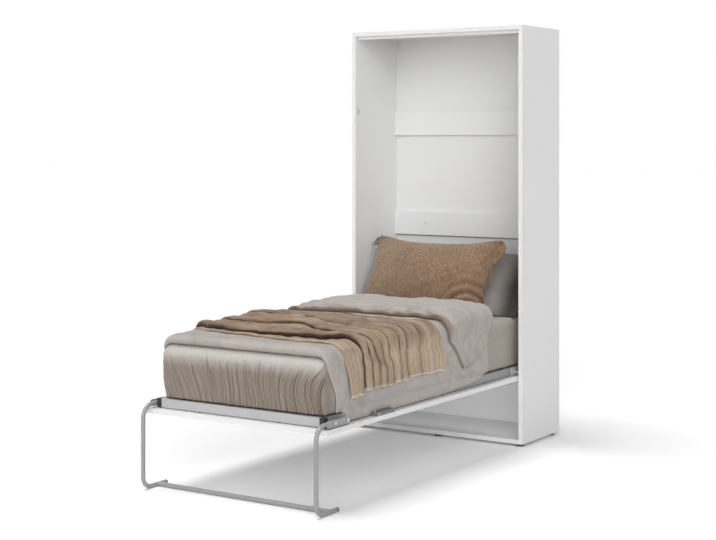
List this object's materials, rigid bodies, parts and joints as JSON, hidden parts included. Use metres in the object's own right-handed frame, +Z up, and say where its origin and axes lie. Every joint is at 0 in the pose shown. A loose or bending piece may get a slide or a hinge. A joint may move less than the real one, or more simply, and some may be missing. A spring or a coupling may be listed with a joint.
{
  "type": "wall bed",
  "caption": "Tall shallow cabinet with a single bed that folds down on gas struts, on a fold-out tube leg, made up with mattress, duvet, throw and pillows.",
  "frame": {"origin": "on the floor, under the middle of the box of the open bed and its cabinet", "axes": "+X to the right across the bed as seen from its foot, +Y from the foot towards the wall, +Z up"},
  "size_m": [1.05, 2.226, 2.177],
  "materials": {
    "white_board": "matt white laminate on chipboard",
    "backing_board": "thin white backing board",
    "beech": "plain beech",
    "birch_ply": "bent birch plywood, clear lacquer",
    "grey_steel": "light grey powder coat",
    "bright_steel": "zinc plated",
    "black_plastic": "moulded, matt",
    "grey_plastic": "moulded, matt",
    "white_nylon": "moulded, smooth",
    "black_enamel": "black enamel",
    "mattress_ticking": "quilted ticking",
    "sheet_cloth": "taupe jersey, pulled tight",
    "duvet_cloth": "grey beige washed cotton",
    "throw_cloth": "tan ribbed weave with frayed edge",
    "tan_pillow_cloth": "tan slub weave",
    "grey_pillow_cloth": "grey washed cotton"
  },
  "bodies": {
    "cabinet": {"back_sheet_lower": "backing_board", "back_sheet_middle": "backing_board", "back_sheet_screws": "bright_steel", "back_sheet_upper": "backing_board", "bottom_panel": "white_board", "cabinet_feet": "black_plastic", "carcass_dowels": "beech", "cross_rail_lower": "white_board", "cross_rail_upper": "white_board", "foot_screws": "bright_steel", "pivot_bushes": "white_nylon", "pivot_plate_left": "grey_steel", "pivot_plate_right": "grey_steel", "plate_screws": "bright_steel", "side_panel_left": "white_board", "side_panel_right": "white_board", "strike_plates": "bright_steel", "strut_plate_left": "grey_steel", "strut_plate_right": "grey_steel", "top_panel": "white_board", "top_stop_strip": "white_board"},
    "bed": {"corner_blocks": "black_plastic", "cross_bars": "grey_steel", "door_panel": "white_board", "duvet": "duvet_cloth", "fitted_sheet": "sheet_cloth", "foot_rail": "grey_steel", "frame_screws": "bright_steel", "frame_spacers": "bright_steel", "head_rail": "grey_steel", "latch_case_left": "grey_plastic", "latch_case_right": "grey_plastic", "leg_pivot_bolts": "bright_steel", "mattress": "mattress_ticking", "pillow_grey": "grey_pillow_cloth", "pillow_tan": "tan_pillow_cloth", "pivot_brackets": "grey_steel", "pivot_pins": "bright_steel", "side_rail_left": "grey_steel", "side_rail_right": "grey_steel", "slat_holders": "black_plastic", "slats": "birch_ply", "strut_studs": "bright_steel", "throw_blanket": "throw_cloth"},
    "legs": {"leg_arm_left": "grey_steel", "leg_arm_right": "grey_steel", "leg_bushes": "black_plastic", "leg_crossbar": "grey_steel", "leg_end_caps": "black_plastic", "leg_rivets": "bright_steel", "leg_tube_left": "grey_steel", "leg_tube_right": "grey_steel"},
    "strut_left": {"strut_cylinder_left": "black_enamel"},
    "strut_right": {"strut_cylinder_right": "black_enamel"},
    "rod_left": {"strut_rod_left": "bright_steel"},
    "rod_right": {"strut_rod_right": "bright_steel"},
    "latch_left": {"latch_bolt_left": "bright_steel"},
    "latch_right": {"latch_bolt_right": "bright_steel"}
  },
  "joints": [
    {"name": "bed_fold", "type": "hinge", "parent": "cabinet", "child": "bed", "pos_m": [0, 0.717, 0.38], "axis": [-1, 0, 0], "range_deg": [0, 90], "deforming": ["pillow_tan", "pillow_grey"]},
    {"name": "leg_flip", "type": "hinge", "parent": "bed", "child": "legs", "pos_m": [0, -0.888, 0.3835], "axis": [-1, 0, 0], "range_deg": [0, 180]},
    {"name": "strut_swing_left", "type": "hinge", "parent": "cabinet", "child": "strut_left", "pos_m": [-0.483, 0.957, 0.82], "axis": [-1, 0, 0], "range_deg": [0, 13.01]},
    {"name": "strut_swing_right", "type": "hinge", "parent": "cabinet", "child": "strut_right", "pos_m": [0.483, 0.957, 0.82], "axis": [-1, 0, 0], "range_deg": [0, 13.01]},
    {"name": "strut_slide_left", "type": "slide", "parent": "strut_left", "child": "rod_left", "axis": [0, -0.1363, -0.9907], "range_m": [0, 0.2234]},
    {"name": "strut_slide_right", "type": "slide", "parent": "strut_right", "child": "rod_right", "axis": [0, -0.1363, -0.9907], "range_m": [0, 0.2234]},
    {"name": "latch_slide_left", "type": "slide", "parent": "bed", "child": "latch_left", "axis": [-1, 0, 0], "range_m": [0, 0.014]},
    {"name": "latch_slide_right", "type": "slide", "parent": "bed", "child": "latch_right", "axis": [1, 0, 0], "range_m": [0, 0.014]}
  ],
  "couplings": [
    {"joint": "leg_flip", "follows": "bed_fold", "ratio": 2},
    {"joint": "strut_swing_left", "follows": "bed_fold", "ratio": 0.14448},
    {"joint": "strut_swing_right", "follows": "bed_fold", "ratio": 0.14448},
    {"joint": "strut_slide_left", "follows": "bed_fold", "m_per_rad": 0.14215},
    {"joint": "strut_slide_right", "follows": "bed_fold", "m_per_rad": 0.14215}
  ]
}
